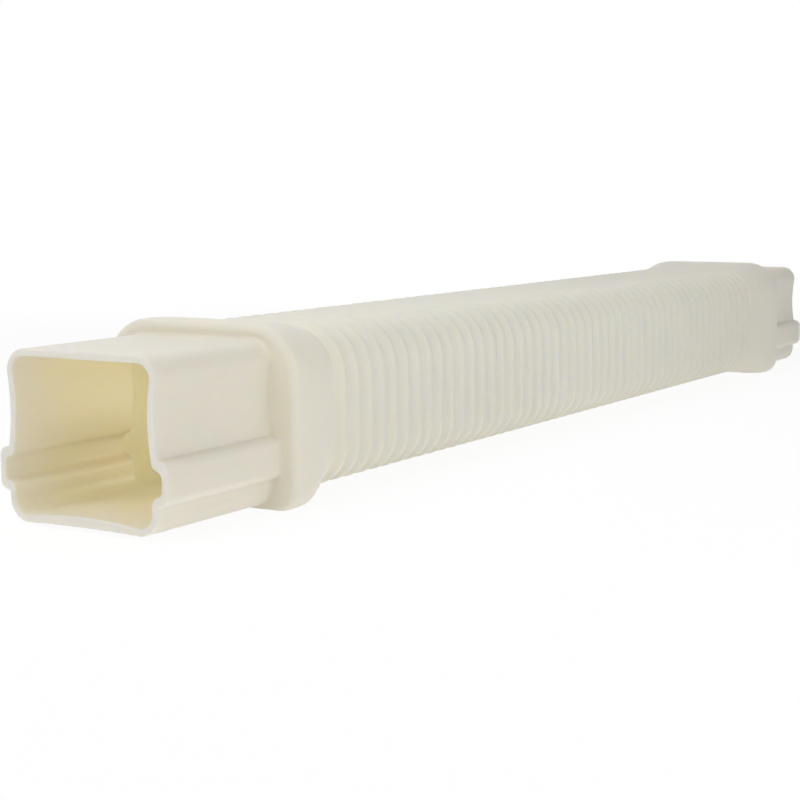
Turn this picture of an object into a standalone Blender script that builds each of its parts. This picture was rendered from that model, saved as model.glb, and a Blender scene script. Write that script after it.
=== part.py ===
"""Flexible rectangular duct, blown in one piece: a ribbed spigot and a collar at each end of a bellows.

X runs along the duct, Y across it and Z up. The origin lies at mid-length, midway between the sides,
on the surface that the two collars rest on.
"""

import math

import bmesh
import bpy

# Driving dimensions in metres
LENGTH = 0.800  # mouth to mouth
WALL = 0.0020  # of the collars and the bellows
SPIGOT_WALL = 0.0032  # thicker, because the blown wall is stretched less there

SPIGOT_LENGTH = 0.0788  # mouth to collar
SPIGOT_WIDTH = 0.0800  # without the ribs
SPIGOT_HEIGHT = 0.0740
SPIGOT_BASE = 0.0017  # the underside's height above the collars' undersides
SPIGOT_TOP_RADIUS = 0.0095
SPIGOT_BOTTOM_RADIUS = 0.0098
SIDE_BOW = 0.0014  # how far each side is drawn in between its rib and its top corner
FLOOR_BOW = 0.0006  # how far the underside arches up at its middle

RIB_BASE = 0.0131  # above the spigot's underside
RIB_HEIGHT = 0.0187
RIB_DEPTH = 0.0053  # how far it stands out from the side
RIB_SHOULDER = 0.0044  # the height that each rounded shoulder takes

COLLAR_WIDTH = 0.1078
COLLAR_HEIGHT = 0.0826
COLLAR_TOP_RADIUS = 0.0235
COLLAR_BOTTOM_RADIUS = 0.0108
COLLAR_EDGE = 0.0038  # rounding of its front edge
COLLAR_RIM = 0.0057  # the straight stretch behind that edge, flat below as a foot
COLLAR_TAPER = 0.0292  # the smooth fall from the rim to the bellows

BELLOWS_WIDTH = 0.0940  # over the crests
BELLOWS_HEIGHT = 0.0754
BELLOWS_BASE = 0.0037  # the crests' height above the collars' undersides
BELLOWS_TOP_RADIUS = 0.0225
BELLOWS_BOTTOM_RADIUS = 0.0186
GROOVE_DEPTH = 0.0027
GROOVES = 50

# How finely round stretches are divided
CORNER_STEPS = 4  # lower corners of the collar and the bellows
SHOULDER_STEPS = 5  # their wider upper corners
SPIGOT_CORNER_STEPS = 3
RIB_STEPS = 3
BOW_STEPS = 4
EDGE_STEPS = 3
TAPER_STEPS = 4

EDGE_SHARE = 0.6  # below, the front edge's rounding is limited to this share of the step under the spigot
SMOOTH_ANGLE = math.radians(60)
MERGE = 0.00001

IVORY = (0.83, 0.79, 0.66, 1.0)
ROUGHNESS = 0.38


def arc(centre, radii, start, end, steps):
    """Points on a quarter or other part of an ellipse in the YZ plane, ends included."""
    angles = [math.radians(start + (end - start) * i / steps) for i in range(steps + 1)]
    return [(centre[0] + radii[0] * math.cos(a), centre[1] + radii[1] * math.sin(a)) for a in angles]


def body_outline(width, base, height, bottom_radius, top_radius):
    """Right half of a rounded rectangle, from its bottom centre up to its top centre."""
    side, top = width / 2, base + height
    lower = (side - bottom_radius, base + bottom_radius)
    upper = (side - top_radius, top - top_radius)
    return [
        (0.0, base),
        *arc(lower, (bottom_radius, bottom_radius), -90, 0, CORNER_STEPS),
        *arc(upper, (top_radius, top_radius), 0, 90, SHOULDER_STEPS),
        (0.0, top),
    ]


def rib_outline(side, base, height):
    """The round-shouldered rib that stands out from a spigot's side, from its foot upwards."""
    shoulder = RIB_SHOULDER * height / RIB_HEIGHT
    lower = arc((side, base + shoulder), (RIB_DEPTH, shoulder), -90, 0, RIB_STEPS)
    upper = arc((side, base + height - shoulder), (RIB_DEPTH, shoulder), 0, 90, RIB_STEPS)
    return lower + upper


def bowed_side(side, low, high):
    """The drawn-in stretch of a spigot's side, without its two ends."""
    shares = [i / BOW_STEPS for i in range(1, BOW_STEPS)]
    return [(side - 4 * SIDE_BOW * s * (1 - s), low + (high - low) * s) for s in shares]


def spigot_outline(depth=0.0):
    """Right half of the spigot's section at this depth in its wall, from bottom centre to top centre."""
    side, base = SPIGOT_WIDTH / 2 - depth, SPIGOT_BASE + depth
    top = SPIGOT_BASE + SPIGOT_HEIGHT - depth
    low_radius, high_radius = SPIGOT_BOTTOM_RADIUS - depth, SPIGOT_TOP_RADIUS - depth
    lower = (side - low_radius, base + low_radius)
    upper = (side - high_radius, top - high_radius)
    rib_foot, rib_height = base + RIB_BASE, RIB_HEIGHT - 2 * depth
    return [
        (0.0, base + FLOOR_BOW),
        (lower[0] / 2, base + 0.75 * FLOOR_BOW),
        *arc(lower, (low_radius, low_radius), -90, 0, SPIGOT_CORNER_STEPS),
        *rib_outline(side, rib_foot, rib_height),
        *bowed_side(side, rib_foot + rib_height, upper[1]),
        *arc(upper, (high_radius, high_radius), 0, 90, SPIGOT_CORNER_STEPS),
        (0.0, top),
    ]


def collar_outline(depth=0.0, foot_depth=0.0):
    """The collar's section, drawn in by one depth at the top and sides and by another below."""
    return body_outline(
        COLLAR_WIDTH - 2 * depth,
        foot_depth,
        COLLAR_HEIGHT - depth - foot_depth,
        COLLAR_BOTTOM_RADIUS - depth,
        COLLAR_TOP_RADIUS - depth,
    )


def bellows_outline(depth=0.0):
    """The bellows' section at the crests, or at this depth below them."""
    return body_outline(
        BELLOWS_WIDTH - 2 * depth,
        BELLOWS_BASE + depth,
        BELLOWS_HEIGHT - 2 * depth,
        BELLOWS_BOTTOM_RADIUS - depth,
        BELLOWS_TOP_RADIUS - depth,
    )


def blend(first, second, share):
    """A section part of the way between two that have the same number of points."""
    return [(a[0] + (b[0] - a[0]) * share, a[1] + (b[1] - a[1]) * share) for a, b in zip(first, second)]


def front_edge(face, foot_edge):
    """The rounding from the collar's flat front to its rim, ends included."""
    stations = []
    for i in range(EDGE_STEPS + 1):
        angle = math.radians(90 * i / EDGE_STEPS)
        left = 1 - math.sin(angle)
        place = face + COLLAR_EDGE * (1 - math.cos(angle))
        stations.append((place, collar_outline(COLLAR_EDGE * left, foot_edge * left)))
    return stations


def inner_edge(face, foot_edge):
    """The corner inside the collar, cut off so that the wall stays even behind the outer rounding."""
    back, cut = face + WALL, COLLAR_EDGE / 2
    return [(back, collar_outline(WALL + cut, WALL + foot_edge)), (back + cut, collar_outline(WALL, WALL))]


def taper(start, depth):
    """The smooth fall from the collar's rim to the first crest, at this depth in the wall."""
    stations = []
    for i in range(TAPER_STEPS):
        share = i / TAPER_STEPS
        fall = (1 - math.cos(math.pi * share)) / 2
        section = blend(collar_outline(depth, depth), bellows_outline(depth), fall)
        stations.append((start + COLLAR_TAPER * share, section))
    return stations


def bellows(start, depth):
    """Crests and grooves in turn, at this depth in the wall, from the first crest to mid-length at X = 0."""
    crest, groove = bellows_outline(depth), bellows_outline(GROOVE_DEPTH + depth)
    places = [start * (1 - i / GROOVES) for i in range(GROOVES + 1)]
    return [(x, groove if i % 2 else crest) for i, x in enumerate(places)]


def loft(bm, stations):
    """A skin through a row of like sections, facing out where they run towards +X; it returns the rings."""
    rings = [[bm.verts.new((x, y, z)) for y, z in section] for x, section in stations]
    for near, far in zip(rings, rings[1:]):
        for i in range(len(near) - 1):
            bm.faces.new((near[i], near[i + 1], far[i + 1], far[i]))
    return rings


def step_face(bm, spigot_ring, collar_ring, facing):
    """The flat step between a spigot's root and its collar, facing along X by this sign."""
    face = bm.faces.new([*collar_ring, *reversed(spigot_ring)])
    bm.normal_update()
    if face.normal.x * facing < 0:
        face.normal_flip()
    bmesh.ops.triangulate(bm, faces=[face])


def quarter_shell():
    """Both skins of the end at -X, on the side towards +Y."""
    mouth = -LENGTH / 2
    face = mouth + SPIGOT_LENGTH
    rim_end = face + COLLAR_EDGE + COLLAR_RIM
    first_crest = rim_end + COLLAR_TAPER
    foot_edge = min(COLLAR_EDGE, EDGE_SHARE * SPIGOT_BASE)
    half_pitch = -first_crest / GROOVES
    slant_wall = WALL * math.hypot(half_pitch, GROOVE_DEPTH) / half_pitch

    outside, inside = spigot_outline(), spigot_outline(SPIGOT_WALL)
    outer = front_edge(face, foot_edge) + taper(rim_end, 0) + bellows(first_crest, 0)
    inner = inner_edge(face, foot_edge) + taper(rim_end, WALL) + bellows(first_crest, slant_wall)

    bm = bmesh.new()
    spigot = loft(bm, [(face + WALL, inside), (mouth, inside), (mouth, outside), (face, outside)])
    outer_rings = loft(bm, outer)
    inner_rings = loft(bm, inner[::-1])
    step_face(bm, spigot[-1], outer_rings[0], facing=-1)
    step_face(bm, spigot[0], inner_rings[-1], facing=1)
    mesh = bpy.data.meshes.new("flexible_duct")
    bm.to_mesh(mesh)
    bm.free()
    return mesh


def ivory_plastic():
    """Pale ivory moulded plastic with a satin surface."""
    material = bpy.data.materials.new("ivory_plastic")
    material.use_nodes = True
    material.diffuse_color = IVORY
    shader = material.node_tree.nodes["Principled BSDF"]
    shader.inputs["Base Color"].default_value = IVORY
    shader.inputs["Roughness"].default_value = ROUGHNESS
    shader.inputs["Metallic"].default_value = 0.0
    return material


def flexible_duct(collection):
    """The whole duct: a quarter of its shell, mirrored to the other end and the other side."""
    mesh = quarter_shell()
    mesh.shade_smooth()
    mesh.set_sharp_from_angle(angle=SMOOTH_ANGLE)
    mesh.materials.append(ivory_plastic())
    duct = bpy.data.objects.new("flexible_duct", mesh)
    collection.objects.link(duct)
    mirror = duct.modifiers.new("ends_and_sides", "MIRROR")
    mirror.use_axis = (True, True, False)
    mirror.merge_threshold = MERGE
    return duct


def main():
    for obj in list(bpy.data.objects):
        bpy.data.objects.remove(obj, do_unlink=True)
    collection = bpy.data.collections.new("flexible_downspout_extension")
    bpy.context.scene.collection.children.link(collection)
    flexible_duct(collection)


main()
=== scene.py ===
from math import cos, pi, radians, sin

import bmesh
import bpy
from mathutils import Matrix, Vector


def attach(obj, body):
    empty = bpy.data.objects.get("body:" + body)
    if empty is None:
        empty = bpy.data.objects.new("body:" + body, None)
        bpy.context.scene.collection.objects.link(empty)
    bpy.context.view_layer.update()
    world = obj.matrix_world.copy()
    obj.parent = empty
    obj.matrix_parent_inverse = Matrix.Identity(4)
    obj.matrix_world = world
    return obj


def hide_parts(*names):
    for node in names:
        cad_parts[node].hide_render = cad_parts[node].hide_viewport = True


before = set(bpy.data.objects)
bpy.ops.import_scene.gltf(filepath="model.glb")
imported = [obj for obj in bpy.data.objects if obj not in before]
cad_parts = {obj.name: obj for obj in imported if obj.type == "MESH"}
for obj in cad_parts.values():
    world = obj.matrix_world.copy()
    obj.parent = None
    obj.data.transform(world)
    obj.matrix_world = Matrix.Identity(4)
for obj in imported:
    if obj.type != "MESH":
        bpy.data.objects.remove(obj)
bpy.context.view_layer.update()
print("frame loaded")

tiny = 0.00001  # metres within which points count as level

duct = {
    "mouth": -0.4,  # X of the near mouth; the far half is its mirror image
    "wall": 0.0020,  # of the collars and the bellows
    "spigotWall": 0.0032,
    "lip": 0.0009,  # rounding of the mouth's two edges
    "lipSteps": 4,
    "smoothAngle": 50,
}

spigot = {
    "length": 0.0788,
    "width": 0.0800,
    "height": 0.0740,
    "base": 0.0017,  # above the surface that the collars lie on
    "topRadius": 0.0095,
    "lowRadius": 0.0098,
    "cornerCuts": 7,
    "flatCuts": 7,
    "sideBow": 0.0014,
    "floorBow": 0.0006,
    "innerFloorBow": 0.0020,  # the floor's wall is thicker at its middle
    "ribFoot": 0.0131,  # above the spigot's underside
    "ribHeight": 0.0187,
    "ribDepth": 0.0053,
    "ribShoulder": 0.0042,
    "ribFlat": 0.0002,  # what stays straight between its shoulder and the fillet at its foot
    "ribCuts": 5,
    "filletCuts": 3,
    "innerShoulder": 0.6,  # the share of the wall that comes off the shoulder inside
    "ribSlope": (0.0010, 0.0016),  # how far its hollow narrows as it goes deeper, below and above
    "root": 0.0016,  # rounding where it meets the collar
    "rootDrop": 0.00045,  # the same, below
    "rootSteps": 5,
    "rootGuard": 0.001,  # a narrow row of faces that keeps each rounding crisp
    "stepRing": (0.0004, 0.0001),  # where the collar's flat starts, past that rounding and below it
}

collar = {
    "width": 0.1078,
    "height": 0.0826,
    "topRadius": 0.0235,
    "lowRadius": 0.0108,
    "edge": 0.0038,  # rounding of its front edge
    "footEdge": 0.0010,  # the same, below
    "edgeSteps": 7,
    "faceRing": (0.0005, 0.00002),  # where its flat ends, inside that rounding and below
    "rim": 0.0057,
    "taper": 0.0292,
    "taperCuts": 12,
}

bellows = {
    "width": 0.0940,
    "height": 0.0754,
    "base": 0.0037,
    "topRadius": 0.0225,
    "lowRadius": 0.0186,
    "pitch": 0.0113,
    "depth": 0.0027,
    "slant": 0.0002,  # what the inner skin lies deeper, so that the slopes keep the wall
    "grooves": 25,  # from the near collar to mid-length
    "outerSteps": 10,
    "innerSteps": 6,
}

# The collar and the bellows share these, so that their outlines bridge point to point
bodyCuts = {"topCorner": 11, "lowCorner": 9, "flat": 6}

collarFace = duct["mouth"] + spigot["length"]
rimStart = collarFace + collar["edge"]
rimEnd = rimStart + collar["rim"]
firstCrest = -bellows["grooves"] * bellows["pitch"]


def pickPoints(test, openOnly=False):
    # selects the points of the edited mesh whose place passes the test
    net = bmesh.from_edit_mesh(bpy.context.object.data)
    for point in net.verts:
        point.select = test(point.co) and (point.is_boundary or not openOnly)
    net.select_flush_mode()
    bmesh.update_edit_mesh(bpy.context.object.data)


def roundPoints(offset, cuts):
    bpy.ops.mesh.bevel(offset=offset, offset_type="OFFSET", segments=cuts, profile=0.5, affect="VERTICES")


def startOutline(name, x, sizes, depth, cornerCuts, flatCuts):
    # one rounded outline across the duct, at this depth in the wall, left in edit mode
    width, base, height = sizes["width"] - 2 * depth, sizes["base"] + depth, sizes["height"] - 2 * depth
    bpy.ops.object.select_all(action="DESELECT")
    bpy.ops.mesh.primitive_plane_add(size=1, location=(x, 0, base + height / 2), rotation=(0, pi / 2, 0))
    bpy.context.object.name = name
    bpy.context.object.scale = (height, width, 1)
    bpy.ops.object.transform_apply(location=True, rotation=True, scale=True)
    bpy.ops.object.mode_set(mode="EDIT")
    bpy.ops.mesh.select_mode(type="VERT")
    bpy.ops.mesh.delete(type="ONLY_FACE")
    top = base + height
    for level, radius, cuts in ((top, "topRadius", cornerCuts[0]), (base, "lowRadius", cornerCuts[1])):
        pickPoints(lambda p: abs(p.z - level) < tiny)
        roundPoints(sizes[radius] - depth, cuts)
        pickPoints(lambda p: abs(p.z - level) < tiny)
        bpy.ops.mesh.subdivide(number_cuts=flatCuts)
    return {"x": x, "width": width, "base": base, "height": height, "grow": 0.0, "drop": 0.0}


def pushRing(ring, x, grow=0.0, drop=None):
    # extrudes the picked ring to X, wider than at its start by grow all round, or by drop below
    drop = grow if drop is None else drop
    wider = (ring["width"] + 2 * grow) / (ring["width"] + 2 * ring["grow"])
    taller = (ring["height"] + grow + drop) / (ring["height"] + ring["grow"] + ring["drop"])
    move = (x - ring["x"], 0, ring["drop"] - drop)
    bpy.ops.mesh.extrude_region_move(TRANSFORM_OT_translate={"value": move})
    bpy.ops.transform.resize(value=(1, wider, taller), center_override=(x, 0, ring["base"] - drop))
    ring.update(x=x, grow=grow, drop=drop)


def addRibs(ring, depth):
    # stands a round-shouldered rib out from each side, and gives the height of its upper foot
    side = ring["width"] / 2
    foot = ring["base"] + spigot["ribFoot"]
    head = foot + spigot["ribHeight"] - 2 * depth
    shoulder = spigot["ribShoulder"] - spigot["innerShoulder"] * depth
    fillet = spigot["ribDepth"] - shoulder - spigot["ribFlat"]
    for height in (foot, head):
        pickPoints(lambda p: abs(p.y) > side - tiny)
        bpy.ops.mesh.bisect(plane_co=(0, 0, height), plane_no=(0, 0, 1))
    pickPoints(lambda p: abs(p.y) > side - tiny and foot - tiny < p.z < head + tiny)
    bpy.ops.mesh.extrude_region_move()
    bpy.ops.transform.resize(value=(1, 1 + spigot["ribDepth"] / side, 1), center_override=(0, 0, 0))
    bpy.ops.mesh.select_all(action="SELECT")
    bpy.ops.mesh.delete(type="ONLY_FACE")
    pickPoints(lambda p: abs(abs(p.y) - side) < tiny and foot - tiny < p.z < head + tiny)
    bpy.ops.mesh.delete(type="EDGE_FACE")
    if depth:
        below, above = spigot["ribSlope"]
        for height, move in ((foot, below), (head, -above)):
            pickPoints(lambda p: abs(p.y) > side + tiny and abs(p.z - height) < tiny)
            bpy.ops.transform.translate(value=(0, 0, move))
    pickPoints(lambda p: abs(p.y) > side + tiny)
    roundPoints(shoulder, spigot["ribCuts"])
    pickPoints(lambda p: abs(abs(p.y) - side) < tiny and min(abs(p.z - foot), abs(p.z - head)) < tiny)
    roundPoints(fillet, spigot["filletCuts"])
    return head + fillet


def bowFlats(ring, depth, low):
    # draws the sides in above the ribs and arches the floor, as the plastic does when it cools
    side, base = ring["width"] / 2, ring["base"]
    high = base + ring["height"] - spigot["topRadius"] + depth
    cuts = spigot["flatCuts"]
    pickPoints(lambda p: abs(abs(p.y) - side) < tiny and low - tiny < p.z < high + tiny)
    bpy.ops.mesh.subdivide(number_cuts=cuts)
    for cut in range(1, cuts + 1):
        share = cut / (cuts + 1)
        level = low + (high - low) * share
        bow = 4 * spigot["sideBow"] * share * (1 - share)
        pickPoints(lambda p: abs(abs(p.y) - side) < tiny and abs(p.z - level) < tiny)
        bpy.ops.transform.resize(value=(1, 1 - bow / side, 1), center_override=(0, 0, 0))
    half = side - spigot["lowRadius"] + depth
    arch = spigot["innerFloorBow"] if depth else spigot["floorBow"]
    for cut in range(cuts // 2 + 1):
        share = 2 * cut / (cuts + 1)
        pickPoints(lambda p: abs(abs(p.y) - half * share) < tiny and abs(p.z - base) < tiny)
        bpy.ops.transform.translate(value=(0, 0, arch * (1 - share * share)))


def makeSpigot(depth, outward):
    # one skin of the near spigot, from its lip to the flat of the collar's front
    mouth, lip, cuts, guard = duct["mouth"], duct["lip"], spigot["cornerCuts"], spigot["rootGuard"]
    flat = collarFace + (duct["wall"] if depth else 0)
    ring = startOutline("spigotSkin", mouth + lip, spigot, depth, (cuts, cuts), spigot["flatCuts"])
    bowFlats(ring, depth, addRibs(ring, depth))
    bpy.ops.mesh.select_all(action="SELECT")
    lipRing = dict(ring)
    root = spigot["root"] + depth
    pushRing(ring, mouth + lip + guard)
    pushRing(ring, flat - root - guard)
    pushRing(ring, flat - root)
    for step in range(1, spigot["rootSteps"] + 1):
        turn = radians(90 * step / spigot["rootSteps"])
        flare = 1 - cos(turn)
        pushRing(ring, flat - root * (1 - sin(turn)), root * flare, spigot["rootDrop"] * flare)
    wider, lower = spigot["stepRing"]
    pushRing(ring, flat, root + wider, spigot["rootDrop"] + lower)
    pickPoints(lambda p: abs(p.x - mouth - lip) < tiny)
    for step in range(1, duct["lipSteps"] + 1):
        turn = radians(90 * step / duct["lipSteps"])
        pushRing(lipRing, mouth + lip * (1 - sin(turn)), -outward * lip * (1 - cos(turn)))
    bpy.ops.object.mode_set(mode="OBJECT")
    return bpy.context.object


def startBody(name, x, sizes, depth):
    # an outline of the collar or the bellows, with its sides cut as its top and floor are
    corners = (bodyCuts["topCorner"], bodyCuts["lowCorner"])
    ring = startOutline(name, x, sizes, depth, corners, bodyCuts["flat"])
    pickPoints(lambda p: abs(p.y) > ring["width"] / 2 - tiny)
    bpy.ops.mesh.subdivide(number_cuts=bodyCuts["flat"])
    bpy.ops.mesh.select_all(action="SELECT")
    return ring


def makeCollar(depth):
    # one skin of the near collar, from the flat of its front to the end of its rim
    ring = startBody("collarSkin", rimStart, {**collar, "base": 0.0}, depth)
    rimRing = dict(ring)
    edge = collar["edge"] - depth
    for step in range(1, collar["edgeSteps"] + 1):
        turn = radians(90 * step / collar["edgeSteps"])
        shrink = 1 - cos(turn)
        pushRing(ring, rimStart - edge * sin(turn), -edge * shrink, -collar["footEdge"] * shrink)
    narrower, higher = collar["faceRing"]
    pushRing(ring, rimStart - edge, -edge - narrower, -collar["footEdge"] - higher)
    pickPoints(lambda p: abs(p.x - rimStart) < tiny)
    pushRing(rimRing, (rimStart + rimEnd) / 2)
    pushRing(rimRing, rimEnd)
    bpy.ops.object.mode_set(mode="OBJECT")
    return bpy.context.object


def makeBellows(depth, steps):
    # one skin of the near half of the bellows: a groove, repeated up to mid-length
    ring = startBody("bellowsSkin", firstCrest, bellows, depth)
    for step in range(1, steps + 1):
        share = step / steps
        sink = bellows["depth"] * (1 - cos(2 * pi * share)) / 2
        pushRing(ring, firstCrest + bellows["pitch"] * share, -sink)
    bpy.ops.object.mode_set(mode="OBJECT")
    groove = bpy.context.object
    row = groove.modifiers.new("grooveRow", "ARRAY")
    row.count = bellows["grooves"]
    row.use_relative_offset = False
    row.use_constant_offset = True
    row.constant_offset_displace = (bellows["pitch"], 0, 0)
    row.use_merge_vertices = True
    row.merge_threshold = tiny
    bpy.ops.object.modifier_apply(modifier=row.name)
    return groove


def joinPieces(parts):
    bpy.ops.object.select_all(action="DESELECT")
    for part in parts:
        part.select_set(True)
    bpy.context.view_layer.objects.active = parts[0]
    bpy.ops.object.join()
    return bpy.context.object


def makeSkin(spigotDepth, depth, slant, steps, outward, mark):
    # a whole skin of the near half; its mark tells the finish which side of the wall it is, and so where it
    # paints the inner skin's warm glow
    skin = joinPieces([makeSpigot(spigotDepth, outward), makeCollar(depth), makeBellows(depth + slant, steps)])
    bpy.ops.geometry.color_attribute_add(
        name="innerSkin", domain="POINT", data_type="FLOAT_COLOR", color=(mark, mark, mark, 1)
    )
    bpy.ops.object.mode_set(mode="EDIT")
    bpy.ops.mesh.select_mode(type="VERT")
    pickPoints(lambda p: abs(p.x - collarFace - depth) < tiny, openOnly=True)
    bpy.ops.mesh.fill(use_beauty=True)
    pickPoints(lambda p: min(abs(p.x - rimEnd), abs(p.x - firstCrest)) < tiny, openOnly=True)
    bpy.ops.mesh.bridge_edge_loops(number_cuts=collar["taperCuts"], interpolation="SURFACE", smoothness=1.0)
    bpy.ops.object.mode_set(mode="OBJECT")
    return skin


outerSkin = makeSkin(0.0, 0.0, 0.0, bellows["outerSteps"], outward=1, mark=0.0)
innerSkin = makeSkin(
    duct["spigotWall"], duct["wall"], bellows["slant"], bellows["innerSteps"], outward=-1, mark=1.0
)
print("skins drawn")

shell = joinPieces([outerSkin, innerSkin])
shell.name = shell.data.name = "blownDuct"
bpy.ops.object.mode_set(mode="EDIT")
pickPoints(lambda p: abs(p.x - duct["mouth"]) < tiny)
bpy.ops.mesh.bridge_edge_loops()
bpy.ops.object.mode_set(mode="OBJECT")
farEnd = shell.modifiers.new("farEnd", "MIRROR")
farEnd.merge_threshold = tiny
bpy.ops.object.modifier_apply(modifier=farEnd.name)
bpy.ops.object.mode_set(mode="EDIT")
bpy.ops.mesh.select_all(action="SELECT")
bpy.ops.mesh.remove_doubles(threshold=tiny / 2)
bpy.ops.mesh.normals_make_consistent(inside=False)
bpy.ops.object.mode_set(mode="OBJECT")
bpy.ops.object.shade_smooth_by_angle(angle=radians(duct["smoothAngle"]))
print("duct closed:", len(shell.data.polygons), "faces")


def mapRange(tree, value, start, stop, low=0.0, high=1.0, smooth=False):
    # turns start to stop into low to high
    node = tree.nodes.new("ShaderNodeMapRange")
    node.interpolation_type = "SMOOTHSTEP" if smooth else "LINEAR"
    for socket, number in zip(("From Min", "From Max", "To Min", "To Max"), (start, stop, low, high)):
        node.inputs[socket].default_value = number
    tree.links.new(value, node.inputs["Value"])
    return node.outputs["Result"]


def calculate(tree, operation, *values):
    node = tree.nodes.new("ShaderNodeMath")
    node.operation = operation
    for slot, value in enumerate(values):
        tree.links.new(value, node.inputs[slot])
    return node.outputs[0]


ivory = {
    "outside": (0.830, 0.797, 0.703, 1),
    # painted light: the inner skin is the same plastic, painted warmer and paler for the light that the thin
    # walls let through and that bounces inside
    "inside": (0.900, 0.842, 0.655, 1),
    "paintedGlowFrom": (0.402, 0.365),  # from and to where that painted glow comes in, from mid-length
    "paintedEdgeHighlight": (0.825, 0.800, 0.745, 1),  # painted highlight: the mouth's rounded edge is painted paler
    "paintedEdgeFrom": (0.3982, 0.3994),
    "cloud": (9, 3),  # scale and detail of the faint change of tone
    "cloudFrom": (0.3, 0.7),
    "cloudTone": (0.975, 1.0),
    "gloss": (40, 4),  # scale and detail of the change of roughness
    "roughness": (0.34, 0.46),
    "waves": (28, 2),  # scale and detail of the wide, shallow waves of a blown wall
    "waveHeight": 0.00010,
    "grain": (900, 2),
    "grainHeight": 0.00003,
    "subsurface": {"Weight": 0.6, "Radius": (1.0, 0.8, 0.45), "Scale": 0.004},
    "specular": 0.4,
}


def makeIvory():
    # satin ivory plastic: wide shallow waves, a fine grain and a faint change of tone, with painted light on
    # the inner skin and a painted highlight on the mouth's edge
    finish = bpy.data.materials.new("ivoryPlastic")
    finish.use_nodes = True
    tree = finish.node_tree
    nodes, links = tree.nodes, tree.links
    shader = nodes["Principled BSDF"]
    place = nodes.new("ShaderNodeTexCoord")

    def noise(scale, detail):
        node = nodes.new("ShaderNodeTexNoise")
        node.inputs["Scale"].default_value = scale
        node.inputs["Detail"].default_value = detail
        links.new(place.outputs["Object"], node.inputs["Vector"])
        return node.outputs["Fac"]

    def blend(kind, factor, first, second):
        node = nodes.new("ShaderNodeMix")
        node.data_type = "RGBA"
        node.blend_type = kind
        for socket, value in zip((0, 6, 7), (factor, first, second)):
            if isinstance(value, bpy.types.NodeSocket):
                links.new(value, node.inputs[socket])
            else:
                node.inputs[socket].default_value = value
        return node.outputs[2]

    def bump(height, distance):
        node = nodes.new("ShaderNodeBump")
        node.inputs["Distance"].default_value = distance
        links.new(height, node.inputs["Height"])
        return node

    skin = nodes.new("ShaderNodeVertexColor")
    skin.layer_name = "innerSkin"
    split = nodes.new("ShaderNodeSeparateXYZ")
    links.new(place.outputs["Object"], split.inputs[0])
    along = calculate(tree, "ABSOLUTE", split.outputs["X"])
    # painted light: deeper inside, the inner skin takes that warmer, paler tone in place of the light let
    # through the walls
    inner = calculate(tree, "MULTIPLY", skin.outputs["Color"], mapRange(tree, along, *ivory["paintedGlowFrom"]))
    tone = blend("MIX", inner, ivory["outside"], ivory["inside"])
    # painted highlight: a paler tone on the mouth's rounded edge
    tone = blend("MIX", mapRange(tree, along, *ivory["paintedEdgeFrom"]), tone, ivory["paintedEdgeHighlight"])
    cloud = mapRange(tree, noise(*ivory["cloud"]), *ivory["cloudFrom"], *ivory["cloudTone"])
    links.new(blend("MULTIPLY", 1.0, tone, cloud), shader.inputs["Base Color"])

    gloss = mapRange(tree, noise(*ivory["gloss"]), 0.0, 1.0, *ivory["roughness"])
    links.new(gloss, shader.inputs["Roughness"])

    waves = bump(noise(*ivory["waves"]), ivory["waveHeight"])
    grain = bump(noise(*ivory["grain"]), ivory["grainHeight"])
    links.new(waves.outputs["Normal"], grain.inputs["Normal"])
    links.new(grain.outputs["Normal"], shader.inputs["Normal"])

    for socket, value in ivory["subsurface"].items():
        shader.inputs["Subsurface " + socket].default_value = value
    shader.inputs["Specular IOR Level"].default_value = ivory["specular"]
    return finish


shell.data.materials.clear()
shell.data.materials.append(makeIvory())
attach(shell, "root")
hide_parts("flexible_duct")
print("ivory finish on")


studio = {
    "floorSize": 14,
    "floorTone": (0.93, 0.93, 0.93, 1),
    "floorRoughness": 0.9,
    "floorGlow": 0.26,  # the floor is a light table
    "floorShare": 0.12,  # how much of the shadow on it the camera sees, near the duct
    "shadowReach": (0.5, 1.1),  # from and to where that fades
    "skyFrom": (-1, 0, 0),  # the sky is brighter towards this
    "skyLight": (0.0, 0.22),
    "softboxes": {  # place, what it points at, size and watts
        "overheadSoftbox": ((-0.17, 0.2, 0.9), (-0.12, 0, 0), (1.6, 1.0), 5.0),
        "endSoftbox": ((-1.1, 0, 1.0), (-0.35, 0, 0.04), (0.8, 0.8), 2.75),
        "backSoftbox": ((-1.6, 0.9, 1.0), (-0.35, 0, 0.06), (0.9, 0.9), 4.3),
        "sideSoftbox": ((-0.45, -0.85, 0.45), (-0.35, 0, 0.04), (0.8, 0.6), 1.8),
        "lowSoftbox": ((-0.05, -0.6, 0.09), (-0.05, 0, 0.03), (0.7, 0.12), 0.5),
    },
    "insideLights": {  # the same and the spread, for the light that the thin walls let through
        "throughLight": ((0.26, -0.025, 0.040), (0.36, 0.035, 0.040), (0.04, 0.05), 0.0175, 150),
        "ceilingLight": ((0.365, 0, 0.0715), (0.365, 0, 0), (0.065, 0.065), 0.0034, 180),
    },
    "insideTone": (1.0, 0.96, 0.84),
    "endShares": {-1: 1.0, 1: 0.6},  # how strong those are in the near end and the far one
}


def whiteForEyes(tree):
    # 1 for rays that see the surroundings directly, in gloss or through glass
    path = tree.nodes.new("ShaderNodeLightPath")
    seen = path.outputs["Is Camera Ray"]
    for other in ("Is Glossy Ray", "Is Transmission Ray"):
        seen = calculate(tree, "MAXIMUM", seen, path.outputs[other])
    return seen


def mixShaders(tree, share, first, second, output):
    node = tree.nodes.new("ShaderNodeMixShader")
    for slot, source in enumerate((share, first, second)):
        tree.links.new(source, node.inputs[slot])
    tree.links.new(node.outputs[0], tree.nodes[output].inputs["Surface"])


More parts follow.
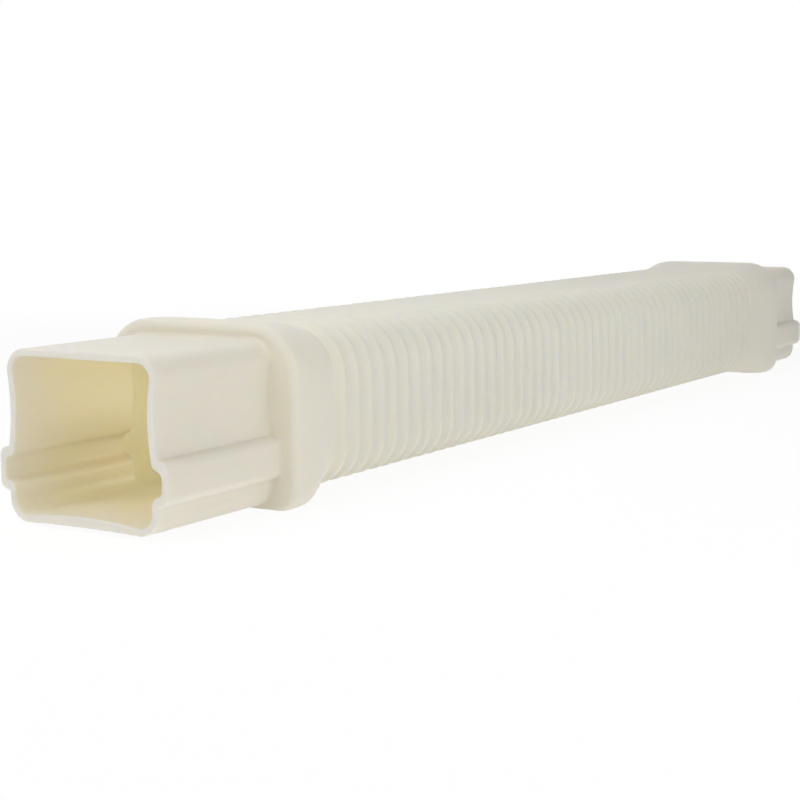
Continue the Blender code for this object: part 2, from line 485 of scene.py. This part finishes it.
def makeFloor():
    bpy.ops.object.select_all(action="DESELECT")
    bpy.ops.mesh.primitive_plane_add(size=studio["floorSize"])
    floor = bpy.context.object
    floor.name = "studioFloor"
    paper = bpy.data.materials.new("lightTable")
    paper.use_nodes = True
    tree = paper.node_tree
    surface = tree.nodes["Principled BSDF"]
    surface.inputs["Base Color"].default_value = studio["floorTone"]
    surface.inputs["Roughness"].default_value = studio["floorRoughness"]
    surface.inputs["Specular IOR Level"].default_value = 0.0
    surface.inputs["Emission Color"].default_value = (1, 1, 1, 1)
    surface.inputs["Emission Strength"].default_value = studio["floorGlow"]
    white = tree.nodes.new("ShaderNodeEmission")
    white.inputs["Strength"].default_value = 1.0
    place = tree.nodes.new("ShaderNodeTexCoord")
    distance = tree.nodes.new("ShaderNodeVectorMath")
    distance.operation = "LENGTH"
    tree.links.new(place.outputs["Object"], distance.inputs[0])
    shown = 1 - studio["floorShare"]
    fade = mapRange(tree, distance.outputs["Value"], *studio["shadowReach"], shown, 1.0, smooth=True)
    share = calculate(tree, "MULTIPLY", whiteForEyes(tree), fade)
    mixShaders(tree, share, surface.outputs[0], white.outputs[0], "Material Output")
    floor.data.materials.append(paper)


def makeSky():
    world = bpy.data.worlds.new("studioSky")
    bpy.context.scene.world = world
    world.use_nodes = True
    tree = world.node_tree
    light = tree.nodes["Background"]
    light.inputs["Color"].default_value = (1, 1, 1, 1)
    heading = tree.nodes.new("ShaderNodeTexCoord")
    toward = tree.nodes.new("ShaderNodeVectorMath")
    toward.operation = "DOT_PRODUCT"
    toward.inputs[1].default_value = studio["skyFrom"]
    tree.links.new(heading.outputs["Generated"], toward.inputs[0])
    glow = mapRange(tree, toward.outputs["Value"], -1.0, 1.0, *studio["skyLight"], smooth=True)
    tree.links.new(glow, light.inputs["Strength"])
    white = tree.nodes.new("ShaderNodeBackground")
    white.inputs["Color"].default_value = (1, 1, 1, 1)
    white.inputs["Strength"].default_value = 1.0
    mixShaders(tree, whiteForEyes(tree), light.outputs[0], white.outputs[0], "World Output")


def addSoftbox(name, place, target, size, power, spread=180, tone=(1, 1, 1)):
    bpy.ops.object.light_add(type="AREA", location=place)
    lamp = bpy.context.object
    lamp.name = name
    lamp.visible_camera = False
    lamp.data.shape = "RECTANGLE"
    lamp.data.size, lamp.data.size_y = size
    lamp.data.spread = radians(spread)
    lamp.data.energy = power
    lamp.data.color = tone
    aim = Vector(target) - Vector(place)
    lamp.rotation_euler = aim.to_track_quat("-Z", "Y").to_euler()


makeFloor()
makeSky()
for name, softbox in studio["softboxes"].items():
    addSoftbox(name, *softbox)
for end, share in studio["endShares"].items():
    for name, (place, target, size, power, spread) in studio["insideLights"].items():
        place, target = (end * place[0], *place[1:]), (end * target[0], *target[1:])
        addSoftbox(name, place, target, size, power * share, spread, studio["insideTone"])
print("studio lit")

# The photograph's camera, from a fit to the outline
view = {
    "place": (-0.92478, -0.47050, 0.14401),
    "heading": -58.9152,
    "tilt": -7.2951,
    "roll": -0.234,
    "lens": 76.48,
    "sensor": 36,
}
bpy.ops.object.camera_add(location=view["place"])
camera = bpy.context.object
turned = Matrix.Rotation(radians(view["heading"]), 3, "Z") @ Matrix.Rotation(radians(90 + view["tilt"]), 3, "X")
camera.rotation_euler = (turned @ Matrix.Rotation(radians(view["roll"]), 3, "Z")).to_euler()
camera.data.lens = view["lens"]
camera.data.sensor_width = view["sensor"]
bpy.context.scene.camera = camera
bpy.context.scene.view_settings.view_transform = "Standard"

print("camera set")
